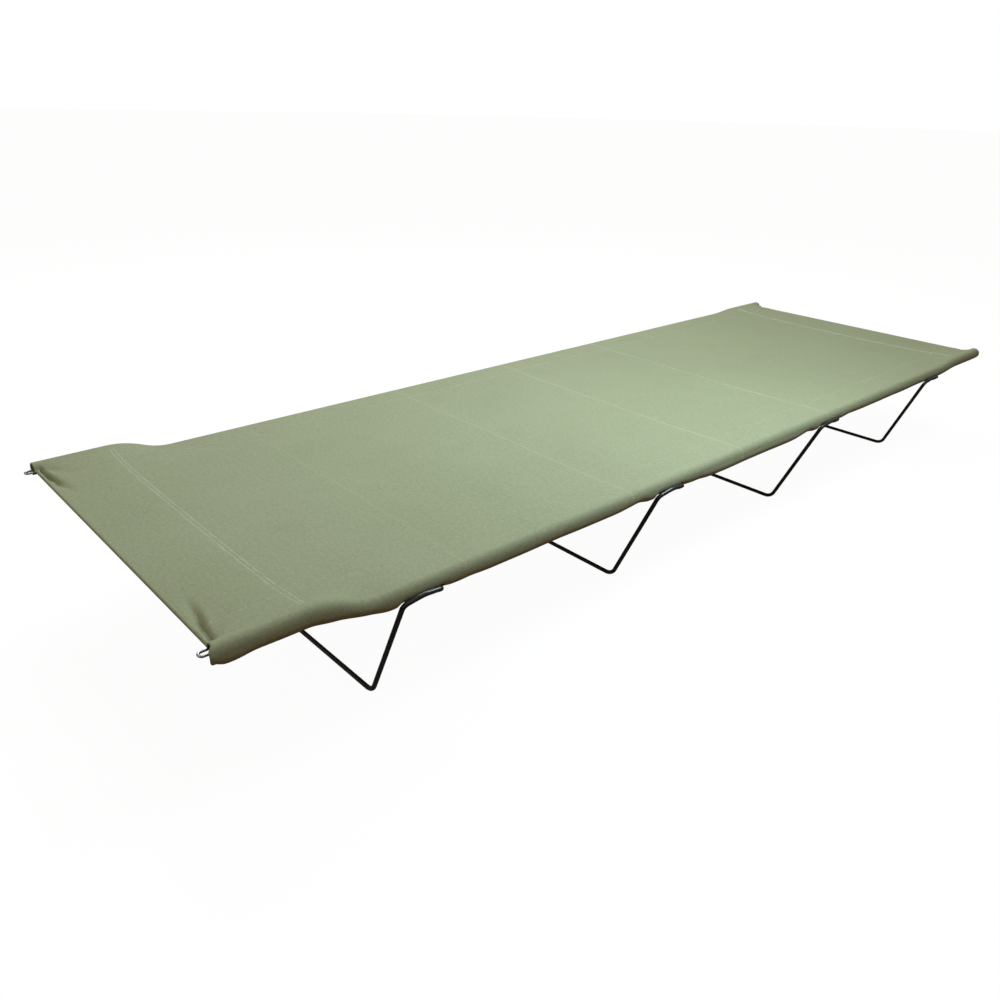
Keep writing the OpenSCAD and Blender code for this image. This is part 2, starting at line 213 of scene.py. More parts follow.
def top_detail(x, y):
    """What folding, sewing and pulling add to the height of the top layer."""
    ay = np.abs(y)
    inside = smooth((0.290 - ay) / 0.03)
    out = np.zeros_like(x)
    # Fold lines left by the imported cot.
    for k, (c, size) in enumerate(CREASES):
        bend = c + wobble(y, 40 + k, [0.42, 0.17], [0.0012, 0.0005])
        line = np.exp(-np.abs(x - bend) / 0.0040) - 0.35 * np.exp(-((x - bend) / 0.02) ** 2)
        out += 0.0011 * size * line * inside * (0.8 + wobble(y, 60 + k, [0.13, 0.06], [0.15, 0.1]))
    # The side seams and the hems draw the cloth in along their stitches.
    d = ay - SEAM_Y
    sizes = [0.35, 0.25, 0.3, 0.15]
    pucker = wobble(x, 11, [0.021, 0.013, 0.034, 0.0087], sizes)
    pucker = np.where(y < 0, pucker, wobble(x, 12, [0.023, 0.012, 0.037, 0.0091], sizes))
    out += -0.00025 * np.exp(-(d / 0.0022) ** 2)
    out += 0.00033 * pucker * np.exp(-(d / 0.010) ** 2)
    out += 0.0005 * smooth((d + 0.001) / 0.003) * smooth((0.030 - d) / 0.028)
    for sign in (-1, 1):
        e = sign * x - HEM_START
        inside_hem = smooth((0.287 - ay) / 0.01)
        pucker = wobble(y, 20 + sign, [0.019, 0.012, 0.031], [0.35, 0.25, 0.3])
        rows = np.exp(-(e / 0.0017) ** 2) + np.exp(-((e + ROW_GAP) / 0.0017) ** 2)
        out += -0.00022 * rows * inside_hem
        out += 0.0003 * pucker * np.exp(-((e + 0.0027) / 0.010) ** 2) * inside_hem
    # A fold runs in from each corner, where the end rod pulls the sheet down beside the pole.
    for sx in (-1, 1):
        for sy in (-1, 1):
            dx = ROD_X - sx * x
            dy = 0.288 - sy * y
            size, start, slope, curve = CORNER_FOLDS[sx, sy]
            # The main valley leaves the corner almost along the hem, and bends away from it.
            off = dx - (start + slope * dy + curve * dy ** 2)
            spread = 0.0032 + 0.032 * np.clip(dy, 0, 0.1)
            fade = smooth((dy + 0.004) / 0.010) * (1 - smooth((dy - 0.035) / 0.085))
            out -= size * 0.0082 * fade * np.exp(-(off / spread) ** 2) * smooth((dx - 0.0008) / 0.003)
            # Weaker folds fan out beside it.
            for angle, depth, width, reach in ((21, 0.0013, 0.0060, 0.07), (38, -0.0015, 0.010, 0.06),
                                               (60, 0.0012, 0.012, 0.06)):
                a = math.radians(angle)
                along = dy * math.cos(a) + dx * math.sin(a)
                off = -dy * math.sin(a) + dx * math.cos(a)
                spread = width * (0.7 + np.clip(along, 0, 1) / 0.11)
                fade = smooth(along / 0.020) * (1 - smooth((along - 0.3 * reach) / reach))
                out += size * depth * fade * np.exp(-(off / spread) ** 2) * (dy > 0) * smooth(dx / 0.0045)
    # Slow unevenness of the stretched cloth.
    slow = wobble(x + 0.3 * y, 31, [0.46, 0.29, 0.19], [0.0006, 0.0004, 0.00025])
    slow += wobble(y - 0.2 * x, 32, [0.31, 0.17], [0.0003, 0.0002])
    out += slow * inside * smooth((0.85 - np.abs(x)) / 0.1)
    return out * smooth((0.2935 - ay) / 0.005)


top_y = np.concatenate([-col_y[::-1], col_y[1:]])
top_z = np.concatenate([half_z[:, ::-1], half_z[:, 1:]], axis=1)
XX, YY = np.meshgrid(row_x, top_y, indexing="ij")
ZZ = top_z + top_detail(XX, YY)

# The ring round the pole, from its top outwards and under, and then the web to the seam.
ring_a = np.radians(np.linspace(90, WRAP_END, 19)[1:])
WEB = np.array([0.12, 0.28, 0.44, 0.60, 0.74, 0.87, 1.0, 1.16])


def sag(x, side):
    """How far the sleeve hangs below its pole: nowhere at a leg's hook, nor past the last leg."""
    # By side, between legs 1 and 2, 2 and 3, and 3 and 4.
    spans = (0.0034, 0.0064, 0.0008) if side < 0 else (0.0047, 0.0047, 0.0047)
    free = np.zeros_like(x)
    for start, stop, drop in zip(LEG_X, LEG_X[1:], spans):
        free = np.where((x > start) & (x < stop), drop, free)
    for top, hook in zip(LEG_X, HOOK_X):
        free = free * smooth(np.maximum(top - 0.018 - x, x - hook - 0.012) / 0.075)
    if side > 0:
        return free + 0.0028 * smooth((LEG_X[0] - 0.018 - x) / 0.04) * smooth((x + 0.940) / 0.04)
    # On the near side it is also full on the head ramp, and close to each leg's arm and hook.
    bulge = 0.0028 + 0.0019 * np.exp(-((x + 0.816) / 0.018) ** 2)
    free = free + bulge * smooth((-0.772 - x) / 0.035) * smooth((x + 0.940) / 0.04)
    for top, hook, drop in zip(LEG_X, HOOK_X, (0.0043, 0.0050, 0.0044)):
        before = smooth((x - top + 0.042) / 0.030) * (1 - smooth((x - top + 0.0065) / 0.010))
        after = smooth((x - hook - 0.006) / 0.014) * (1 - smooth((x - hook - 0.028) / 0.030))
        free = free + drop * before + 0.5 * drop * after
    return free


def ring_points(side):
    """Rows of points: the ring, then the web as far as just past the seam."""
    n = len(row_c)
    pts = np.zeros((n, len(ring_a) + len(WEB), 3))
    end = ROD_X - np.abs(row_c)
    # The near head mouth is pulled out past the hem on its outer side, and bags just behind that.
    near = side < 0
    pull = smooth((0.042 - end) / 0.042) ** 2 * np.where(row_c < 0, 1.0, 0.25) * near
    bag = smooth((end + 0.005) / 0.014) * (1 - smooth((end - 0.012) / 0.034)) * (row_c < 0)
    bag = bag * (1.0 if near else 0.2)
    tight = 0.0006 * smooth((0.012 - end) / 0.012) * near
    waves = wobble(row_c, 70 + side, [0.16, 0.27, 0.09], [0.5, 0.4, 0.2]) * (end > 0.03)
    seam_col = int(np.argmin(np.abs(top_y - side * SEAM_Y)))
    seam_z = ZZ[:, seam_col] - 0.00105
    for k, a in enumerate(ring_a):
        under = max(0.0, -math.sin(a))
        deg = math.degrees(a)
        share = float(smooth((deg - 92) / 55) * (1 - 0.55 * smooth((deg - 200) / 45)))
        grow = under ** 1.3 * (0.0050 * bag - tight + sag(row_c, side)) + 0.0005 * under * waves
        r = RING + np.maximum(grow, -0.0010)
        pts[:, k, 0] = row_c + r * math.sin(a) * np.sin(lean) - 0.0060 * share * pull * np.sign(-row_c)
        pts[:, k, 1] = side * (HALF_GAP - r * math.cos(a))
        pts[:, k, 2] = axis_z + r * math.sin(a) * np.cos(lean)
    last = pts[:, len(ring_a) - 1].copy()
    goal = np.stack([row_x, np.full(n, side * SEAM_Y), seam_z], axis=1)
    for k, t in enumerate(WEB):
        p = last + (goal - last) * t
        p[:, 2] -= 0.0009 * math.sin(math.pi * min(t, 1.0))
        if t > 1:       # the seam allowance, past the stitches
            p[:, 2] = seam_z - 0.0001
            p[:, 1] = side * (SEAM_Y - 0.0065)
        pts[:, len(ring_a) + k] = p
    return pts


near_ring, far_ring = ring_points(-1), ring_points(1)
top_pts = np.stack([XX, YY, ZZ], axis=2)
grid = np.concatenate([near_ring[:, ::-1], top_pts, far_ring], axis=1)
n_ring = near_ring.shape[1]
n_rows, n_cols = grid.shape[:2]

# Distances on the flat cloth: across from the near edge, and along from the head rod.
middle = n_rows // 2
step = np.linalg.norm(np.diff(grid[middle], axis=0), axis=1)
flat_u = np.concatenate([[0], np.cumsum(step)])
flat_v = row_c.copy()
CENTRE_U = float(flat_u[-1] / 2)

verts, flats, faces = [], [], []


def add(points, u, v):
    start = len(verts)
    for p, a, b in zip(points.reshape(-1, 3), np.ravel(u), np.ravel(v)):
        verts.append(tuple(float(c) for c in p))
        flats.append((float(a), float(b), 0.0))
    return np.arange(start, start + points.shape[0] * points.shape[1]).reshape(points.shape[:2])


def join(index, keep=None):
    for i in range(index.shape[0] - 1):
        for j in range(index.shape[1] - 1):
            if keep is None or keep[i, j]:
                faces.append((int(index[i, j]), int(index[i, j + 1]),
                              int(index[i + 1, j + 1]), int(index[i + 1, j])))


main = add(grid, np.repeat(flat_u[None, :], n_rows, 0), np.repeat(flat_v[:, None], n_cols, 1))

# What each column is: the top layer, an angle round the pole, or a share of the web.
half_kind = [("ring", a) for a in np.degrees(ring_a)] + [("web", t) for t in WEB]
kinds = half_kind[::-1] + [("top", abs(v)) for v in top_y] + half_kind

# Under the poles the cloth is cut away: a slot for each hook, and a notch at each end for the rod.
SLOT_FROM, NOTCH_FROM = 186, 236    # degrees round the pole
SLOT_REACH = 0.0190                 # inwards from the pole's middle line
keep = np.ones((n_rows - 1, n_cols - 1), bool)
mid_c = (row_c[:-1] + row_c[1:]) / 2
in_slot = np.zeros(n_rows - 1, bool)
for hx in HOOK_X:
    in_slot |= (mid_c > hx - SLOT_BEFORE) & (mid_c < hx + SLOT_AFTER)
past_notch = {-1: np.abs(mid_c) > 0.934, 1: np.abs(mid_c) > 0.922}
slot_cols = []
for j in range(n_cols - 1):
    pair = (kinds[j], kinds[j + 1])
    if any(k[0] == "top" for k in pair):
        continue
    ringy = all(k[0] == "ring" for k in pair)
    first_angle = min(k[1] for k in pair)
    inwards = HALF_GAP - abs(grid[middle, j, 1] + grid[middle, j + 1, 1]) / 2
    if (ringy and first_angle > SLOT_FROM) or (not ringy and inwards < SLOT_REACH):
        slot_cols.append(j)
        keep[in_slot, j] = False
    if not ringy or first_angle > NOTCH_FROM:
        keep[past_notch[-1 if grid[middle, j, 1] < 0 else 1], j] = False
join(main, keep)

# The hems: over the end rod, round it and back underneath to their two rows of stitches.
hem_cols = [n_ring + j for j, y in enumerate(top_y) if abs(y) <= HEM_Y + 1e-6]
hem_j = np.arange(hem_cols[0], hem_cols[-1] + 1)
HEM_BACK = [0.943, 0.936, 0.927, 0.916, 0.904, 0.892, 0.880, 0.868, 0.858, 0.850, 0.8445,
            0.842, 0.8393, 0.8365, 0.8335, 0.8305]
for sign, i_end in ((-1, 0), (1, n_rows - 1)):
    base_z = axis_z[i_end]
    block, v_at, v = [], [], flat_v[i_end]
    y_line = grid[i_end, hem_j, 1]
    for deg in (65, 40, 15, -10, -35, -60, -85):
        a = math.radians(deg)
        v += sign * HEM_RING * math.radians(25)
        block.append(np.stack([np.full(len(hem_j), sign * (ROD_X + HEM_RING * math.cos(a))), y_line,
                               np.full(len(hem_j), base_z + HEM_RING * math.sin(a))], axis=1))
        v_at.append(v)
    last_x = ROD_X
    for hx in HEM_BACK:
        v += sign * (last_x - hx)
        last_x = hx
        # Under the top layer, a cloth's thickness below it except where they part round the rod.
        zi = np.array([np.interp(sign * hx, row_x, grid[:, j, 2]) for j in hem_j]) - LAYERS
        t = smooth((hx - 0.885) / (ROD_X - 0.885))
        z = zi * (1 - t) + np.minimum(zi, base_z - HEM_RING) * t
        block.append(np.stack([np.full(len(hem_j), sign * hx), y_line * (1 - 0.0005), z], axis=1))
        v_at.append(v)
    block = np.array(block)
    new = add(block, np.repeat(flat_u[hem_j][None, :], len(block), 0),
              np.repeat(np.array(v_at)[:, None], len(hem_j), 1))
    index = np.concatenate([main[i_end, hem_j][None, :], new], axis=0)
    join(index if sign > 0 else index[::-1])

# The mouth of each sleeve is turned in on itself.
MOUTH_END = 240         # degrees round the pole
for sign, i_end in ((-1, 0), (1, n_rows - 1)):
    for side in (-1, 1):
        js = np.array([j for j in range(n_cols)
                       if (grid[middle, j, 1] * side > 0)
                       and ((kinds[j][0] == "top" and abs(grid[middle, j, 1]) > HEM_Y - 1e-6)
                            or (kinds[j][0] == "ring" and kinds[j][1] <= MOUTH_END))])
        end = grid[i_end, js]
        centre = np.array([0, side * HALF_GAP, axis_z[i_end]])
        away = end - centre
        away[:, 0] = 0
        away /= np.linalg.norm(away, axis=1)[:, None]
        block = []
        for dx, dr in ((0.0026, 0.0), (0.0036, -0.0003), (0.0036, -0.0008), (0.0026, -0.0011),
                       (-0.003, -0.0011)):
            p = end + away * dr
            p[:, 0] = end[:, 0] + sign * dx
            block.append(p)
        block = np.array(block)
        vv = np.array([0.0026, 0.0036, 0.0041, 0.0051, 0.0107]) * sign + flat_v[i_end]
        new = add(block, np.repeat(flat_u[js][None, :], len(block), 0), np.repeat(vv[:, None], len(js), 1))
        index = np.concatenate([main[i_end, js][None, :], new], axis=0)
        join(index if sign > 0 else index[::-1])

# Only the points that a face uses.
face_array = np.array(faces)
used = np.unique(face_array)
lookup = np.full(len(verts), -1)
lookup[used] = np.arange(len(used))
face_array = lookup[face_array]
points = np.array(verts)[used]
flat_array = np.array(flats)[used]

canvas_mesh = bpy.data.meshes.new("canvas")
canvas_mesh.from_pydata([tuple(p) for p in points], [], [tuple(int(i) for i in f) for f in face_array])
attribute = canvas_mesh.attributes.new("flat", "FLOAT_VECTOR", "POINT")
attribute.data.foreach_set("vector", flat_array.ravel())
canvas_mesh.polygons.foreach_set("use_smooth", [True] * len(canvas_mesh.polygons))
canvas = bpy.data.objects.new("canvas", canvas_mesh)
bpy.context.scene.collection.objects.link(canvas)
thick = canvas.modifiers.new("cloth", "SOLIDIFY")
thick.thickness = CLOTH
thick.offset = 0
thick.use_rim = True


# ---------------------------------------------------------------- stitches and bindings
def mesh_object(name, vertices, polygons, smooth_faces=True):
    mesh = bpy.data.meshes.new(name)
    mesh.from_pydata([tuple(float(c) for c in v) for v in vertices], [], polygons)
    mesh.polygons.foreach_set("use_smooth", [smooth_faces] * len(mesh.polygons))
    o = bpy.data.objects.new(name, mesh)
    bpy.context.scene.collection.objects.link(o)
    return o


def resample(line, spacing):
    line = np.asarray(line)
    d = np.concatenate([[0], np.cumsum(np.linalg.norm(np.diff(line, axis=0), axis=1))])
    at = np.arange(0, d[-1], spacing)
    return np.stack([np.interp(at, d, line[:, k]) for k in range(3)], axis=1)


def tube(line, radius, sides=6, closed=False):
    """Vertices and faces of a round tube along a line."""
    n = len(line)
    if closed:
        tangent = np.roll(line, -1, 0) - np.roll(line, 1, 0)
    else:
        tangent = np.gradient(line, axis=0)
    tangent /= np.linalg.norm(tangent, axis=1)[:, None]
    normal = np.cross(tangent[0], [0.31, 0.52, 0.79])
    normal /= np.linalg.norm(normal)
    vs = []
    for k in range(n):
        normal = normal - tangent[k] * np.dot(normal, tangent[k])
        normal /= np.linalg.norm(normal)
        other = np.cross(tangent[k], normal)
        for s in range(sides):
            a = 2 * math.pi * s / sides
            vs.append(line[k] + radius * (math.cos(a) * normal + math.sin(a) * other))
    fs = []
    for k in range(n if closed else n - 1):
        b = (k + 1) % n
        for s in range(sides):
            t = (s + 1) % sides
            fs.append((k * sides + s, k * sides + t, b * sides + t, b * sides + s))
    if not closed:
        fs.append(tuple(range(sides))[::-1])
        fs.append(tuple(range((n - 1) * sides, n * sides)))
    return vs, fs


stitch_v, stitch_f = [], []


def gather(v, f, all_v, all_f):
    """Add one small mesh to the lists that hold all of a piece."""
    base = len(all_v)
    all_v.extend(v)
    all_f.extend([tuple(i + base for i in q) for q in f])


STITCH, STITCH_PITCH = 0.0036, 0.0036 + 0.0010
PER_STITCH = 8          # points of the resampled line to one stitch and its gap


def sew(line, normal, radius=0.00050):
    """A row of stitches along a line that lies on the cloth, on the side its normal points to."""
    normal = np.asarray(normal, float)
    line = np.asarray(line, float) + normal * (CLOTH / 2)
    dense = resample(line, STITCH_PITCH / PER_STITCH)
    reach = int(PER_STITCH * STITCH / STITCH_PITCH)
    for start in range(2, len(dense) - PER_STITCH, PER_STITCH):
        a, b = dense[start], dense[start + reach]
        jig = rng.uniform(-0.00012, 0.00012, 3)
        path = [a - normal * 0.0003 + jig, a * 0.8 + b * 0.2 + normal * 0.00014 + jig,
                (a + b) / 2 + normal * 0.00022 + jig, a * 0.2 + b * 0.8 + normal * 0.00014,
                b - normal * 0.0003]
        gather(*tube(path, radius, 5), stitch_v, stitch_f)


UP, DOWN = (0, 0, 1), (0, 0, -1)
for side in (-1, 1):
    j = n_ring + int(np.argmin(np.abs(top_y - side * SEAM_Y)))
    sew(grid[4:-4, j], UP, radius=0.00022 if side < 0 else 0.00038)
    seam_k = len(ring_a) + 6
    ring_j = n_ring - 1 - seam_k if side < 0 else n_cols - n_ring + seam_k
    sew(grid[np.abs(row_c) < 0.938, ring_j], DOWN)
for sign in (-1, 1):
    for hx in (HEM_START, HEM_START - ROW_GAP):
        i = int(np.argmin(np.abs(row_c - sign * hx)))
        cols = [n_ring + j for j, y in enumerate(top_y) if abs(y) < 0.290]
        sew(grid[i, cols], UP)
        cols = [n_ring + j for j, y in enumerate(top_y) if abs(y) < 0.246]
        under = grid[i, cols].copy()
        under[:, 2] -= LAYERS
        sew(under, DOWN)
stitching = mesh_object("stitching", stitch_v, stitch_f)

# Binding round each slot where a leg's hook reaches the pole.
bind_v, bind_f = [], []
for hx in HOOK_X:
    i0 = int(np.argmin(np.abs(row_c - (hx - SLOT_BEFORE))))
    i1 = int(np.argmin(np.abs(row_c - (hx + SLOT_AFTER))))
    for side in (-1, 1):
        js = [j for j in slot_cols if grid[middle, j, 1] * side > 0]
        lo, hi = min(js), max(js) + 1
        loop = [grid[i0, j] for j in range(lo, hi + 1)]
        loop += [grid[i, hi] for i in range(i0 + 1, i1)]
        loop += [grid[i1, j] for j in range(hi, lo - 1, -1)]
        loop += [grid[i, lo] for i in range(i1 - 1, i0, -1)]
        gather(*tube(loop, 0.0009, 8, closed=True), bind_v, bind_f)
bindings = mesh_object("slot_bindings", bind_v, bind_f)


# ---------------------------------------------------------------- materials
class Nodes:
    """A short way to write node trees."""

    def __init__(self, tree):
        self.t = tree

    def link(self, value, socket):
        if isinstance(value, bpy.types.NodeSocket):
            self.t.links.new(value, socket)
        else:
            socket.default_value = value

    def math(self, op, a, b=0.0, c=0.0):
        n = self.t.nodes.new("ShaderNodeMath")
        n.operation = op
        for v, s in zip((a, b, c), n.inputs):
            self.link(v, s)
        return n.outputs[0]

    def noise(self, vector, scale, detail=2.0, rough=0.5):
        n = self.t.nodes.new("ShaderNodeTexNoise")
        self.link(vector, n.inputs["Vector"])
        n.inputs["Scale"].default_value = scale
        n.inputs["Detail"].default_value = detail
        n.inputs["Roughness"].default_value = rough
        return n.outputs["Fac"]

    def scaled(self, vector, factors):
        n = self.t.nodes.new("ShaderNodeVectorMath")
        n.operation = "MULTIPLY"
        self.link(vector, n.inputs[0])
        n.inputs[1].default_value = factors
        return n.outputs[0]

    def spread(self, value, low, high, to_low=0.0, to_high=1.0):
        n = self.t.nodes.new("ShaderNodeMapRange")
        self.link(value, n.inputs["Value"])
        n.inputs["From Min"].default_value = low
        n.inputs["From Max"].default_value = high
        n.inputs["To Min"].default_value = to_low
        n.inputs["To Max"].default_value = to_high
        return n.outputs["Result"]

    def mix(self, factor, a, b, kind="MIX"):
        n = self.t.nodes.new("ShaderNodeMix")
        n.data_type = "RGBA"
        n.blend_type = kind
        self.link(factor, n.inputs["Factor"])
        for v, s in ((a, n.inputs[6]), (b, n.inputs[7])):
            self.link(tuple(v) + (1.0,) if isinstance(v, tuple) and len(v) == 3 else v, s)
        return n.outputs[2]

    def split(self, vector):
        n = self.t.nodes.new("ShaderNodeSeparateXYZ")
        self.link(vector, n.inputs[0])
        return n.outputs

    def bump(self, height, strength, distance, normal=None):
        n = self.t.nodes.new("ShaderNodeBump")
        self.link(height, n.inputs["Height"])
        n.inputs["Strength"].default_value = strength
        n.inputs["Distance"].default_value = distance
        if normal is not None:
            self.link(normal, n.inputs["Normal"])
        return n.outputs[0]


def new_material(name):
    m = bpy.data.materials.new(name)
    m.use_nodes = True
    t = m.node_tree
    t.nodes.clear()
    out = t.nodes.new("ShaderNodeOutputMaterial")
    bsdf = t.nodes.new("ShaderNodeBsdfPrincipled")
    t.links.new(bsdf.outputs[0], out.inputs["Surface"])
    return m, Nodes(t), bsdf


def place_in(n):
    return n.t.nodes.new("ShaderNodeTexCoord").outputs["Object"]


def twisted(n, pos, pitch):
    """Slanting ridges of a twisted or ribbed thread."""
    x, y, z = n.split(pos)
    return n.math("SINE", n.math("MULTIPLY", n.math("ADD", n.math("ADD", x, y), z), 2 * math.pi / pitch))


def canvas_material():
    m, n, bsdf = new_material("olive_canvas")
    t = n.t
    at = t.nodes.new("ShaderNodeAttribute")
    at.attribute_name = "flat"
    flat = at.outputs["Vector"]
    u, v, _ = n.split(flat)
    pitch = 0.00062     # of the plain weave's threads
    wu = n.math("MULTIPLY", u, 2 * math.pi / pitch)
    wv = n.math("MULTIPLY", v, 2 * math.pi / pitch)
    su, sv = n.math("COSINE", wu), n.math("COSINE", wv)
    half_u = n.math("SINE", n.math("MULTIPLY", wu, 0.5))
    half_v = n.math("SINE", n.math("MULTIPLY", wv, 0.5))
    over = n.math("MULTIPLY", half_u, half_v)
    warp = n.math("MULTIPLY", n.spread(su, -1, 1), n.spread(over, -1, 1))
    weft = n.math("MULTIPLY", n.spread(sv, -1, 1), n.spread(over, 1, -1))
    weave = n.math("MAXIMUM", warp, weft)
    # Slubs: threads that are a little thicker or paler for part of their length.
    slub_u = n.noise(n.scaled(flat, (900.0, 14.0, 0.0)), 1.0, 2.0)
    slub_v = n.noise(n.scaled(flat, (14.0, 900.0, 0.0)), 1.0, 2.0)
    slub = n.math("ADD", slub_u, slub_v)
    cloudy = n.noise(flat, 3.2, 3.0)
    blotch = n.noise(flat, 14.0, 4.0, 0.6)
    fine = n.noise(flat, 420.0, 2.0, 0.6)
    base = n.mix(n.spread(cloudy, 0.3, 0.7), (0.281, 0.312, 0.185), (0.315, 0.345, 0.209))
    base = n.mix(n.math("MULTIPLY", n.spread(slub, 0.75, 1.25), 0.5), base, (0.362, 0.380, 0.236))
    base = n.mix(n.math("MULTIPLY", n.spread(blotch, 0.52, 0.75), 0.16), base, (0.226, 0.238, 0.135))
    base = n.mix(n.math("MULTIPLY", n.spread(weave, 0.55, 0.0), 0.35), base, (0.168, 0.185, 0.104))
    base = n.mix(n.math("MULTIPLY", n.spread(fine, 0.5, 0.8), 0.22), base, (0.43, 0.44, 0.29))
    mottle = n.math("ADD", n.math("MULTIPLY", n.noise(flat, 300.0, 3.0, 0.75), 0.66),
                    n.math("MULTIPLY", n.noise(flat, 170.0, 2.0, 0.6), 0.34))
    base = n.mix(n.math("MULTIPLY", n.spread(mottle, 0.50, 0.34), 0.38), base, (0.190, 0.206, 0.120))
    base = n.mix(n.math("MULTIPLY", n.spread(mottle, 0.50, 0.66), 0.34), base, (0.445, 0.475, 0.320))
    # Painted highlight: paler lines along the ridge of each fold, where the cloth was folded.
    highlight_breakup = n.noise(n.scaled(flat, (60.0, 8.0, 0.0)), 1.0, 3.0, 0.65)
    drift = n.noise(n.scaled(flat, (6.0, 0.0, 0.0)), 1.0, 1.0)
    drift = n.math("MULTIPLY", n.math("SUBTRACT", drift, 0.5), 0.006)
    for c, size in CREASES:
        d = n.math("ABSOLUTE", n.math("SUBTRACT", n.math("ADD", v, drift), c))
        line = n.math("POWER", n.spread(d, 0.0030, 0.0), 1.6)
        line = n.math("MULTIPLY", line, n.spread(highlight_breakup, 0.25, 0.7, 0.25, 1.0))
        base = n.mix(n.math("MULTIPLY", line, 0.62 * size), base, (0.50, 0.52, 0.36))
    # Painted highlight: pale bands along the two rows of stitches of each hem, stronger at the head end,
    # where the stitches face away from the lights.
    on_top = n.spread(n.math("ABSOLUTE", n.math("SUBTRACT", u, CENTRE_U)), 0.289, 0.285)
    for row in (HEM_START, HEM_START - ROW_GAP):
        for sign, size in ((-1, 0.60), (1, 0.22)):
            d = n.math("ABSOLUTE", n.math("SUBTRACT", v, sign * row))
            line = n.math("MULTIPLY", n.spread(d, 0.0014, 0.0004), n.spread(highlight_breakup, 0.25, 0.6, 0.6, 1.0))
            line = n.math("MULTIPLY", line, on_top)
            base = n.mix(n.math("MULTIPLY", line, size), base, (0.62, 0.66, 0.48))
    t.links.new(base, bsdf.inputs["Base Color"])
    rough = n.math("ADD", n.math("MULTIPLY", cloudy, 0.6), n.math("MULTIPLY", weave, 0.4))
    t.links.new(n.spread(rough, 0.2, 0.8, 0.78, 0.62), bsdf.inputs["Roughness"])
    bsdf.inputs["Specular IOR Level"].default_value = 0.35
    bsdf.inputs["Sheen Weight"].default_value = 0.12
    bsdf.inputs["Sheen Roughness"].default_value = 0.45
    bsdf.inputs["Sheen Tint"].default_value = (0.86, 0.93, 0.80, 1)
    b = n.bump(weave, 0.45, 0.00016)
    b = n.bump(slub, 0.25, 0.0004, b)
    b = n.bump(blotch, 0.25, 0.0012, b)
    t.links.new(b, bsdf.inputs["Normal"])
    return m


def thread_material():
    m, n, bsdf = new_material("sewing_thread")
    t = n.t
    pos = place_in(n)
    twist = twisted(n, pos, 0.0007)
    wear = n.noise(pos, 35.0, 3.0)
    base = n.mix(n.spread(wear, 0.35, 0.65), (0.56, 0.60, 0.43), (0.68, 0.71, 0.53))
    base = n.mix(n.math("MULTIPLY", n.spread(twist, 0.2, -1.0), 0.4), base, (0.40, 0.43, 0.29))
    t.links.new(base, bsdf.inputs["Base Color"])
    t.links.new(n.spread(wear, 0.3, 0.7, 0.5, 0.7), bsdf.inputs["Roughness"])
    bsdf.inputs["Sheen Weight"].default_value = 0.2
    t.links.new(n.bump(twist, 0.5, 0.0001), bsdf.inputs["Normal"])
    return m


def binding_material():
    m, n, bsdf = new_material("slot_binding")
    t = n.t
    pos = place_in(n)
    rib = twisted(n, pos, 0.0011)
    wear = n.noise(pos, 60.0, 3.0)
    base = n.mix(n.spread(wear, 0.35, 0.65), (0.13, 0.155, 0.095), (0.20, 0.225, 0.145))
    base = n.mix(n.math("MULTIPLY", n.spread(rib, 0.0, -1.0), 0.5), base, (0.07, 0.085, 0.05))
    t.links.new(base, bsdf.inputs["Base Color"])
    t.links.new(n.spread(wear, 0.3, 0.7, 0.6, 0.85), bsdf.inputs["Roughness"])
    t.links.new(n.bump(rib, 0.6, 0.0002), bsdf.inputs["Normal"])
    return m


def enamel_material():
    """Black enamel on a leg's rod: a slight orange peel, dust, and chips, most at the floor."""
    m, n, bsdf = new_material("black_enamel")
    t = n.t
    pos = place_in(n)
    peel = n.noise(pos, 900.0, 2.0)
    dust = n.noise(pos, 24.0, 4.0, 0.65)
    chips = n.noise(pos, 520.0, 3.0, 0.7)
    low = n.spread(n.split(pos)[2], 0.010, 0.0)
    base = n.mix(n.spread(dust, 0.4, 0.75), (0.016, 0.0158, 0.0145), (0.032, 0.031, 0.028))
    chip = n.math("MULTIPLY", n.spread(chips, 0.66, 0.70), n.math("MAXIMUM", low, 0.18))
    base = n.mix(chip, base, (0.22, 0.20, 0.18))
    t.links.new(base, bsdf.inputs["Base Color"])
    rough = n.math("ADD", n.spread(dust, 0.3, 0.8, 0.24, 0.42), n.math("MULTIPLY", low, 0.25))
    t.links.new(rough, bsdf.inputs["Roughness"])
    t.links.new(n.math("MULTIPLY", chip, 0.8), bsdf.inputs["Metallic"])
    bsdf.inputs["Coat Weight"].default_value = 0.35
    bsdf.inputs["Coat Roughness"].default_value = 0.18
    b = n.bump(peel, 0.25, 0.0002)
    b = n.bump(chip, 0.4, 0.0002, b)
    t.links.new(b, bsdf.inputs["Normal"])
    return m


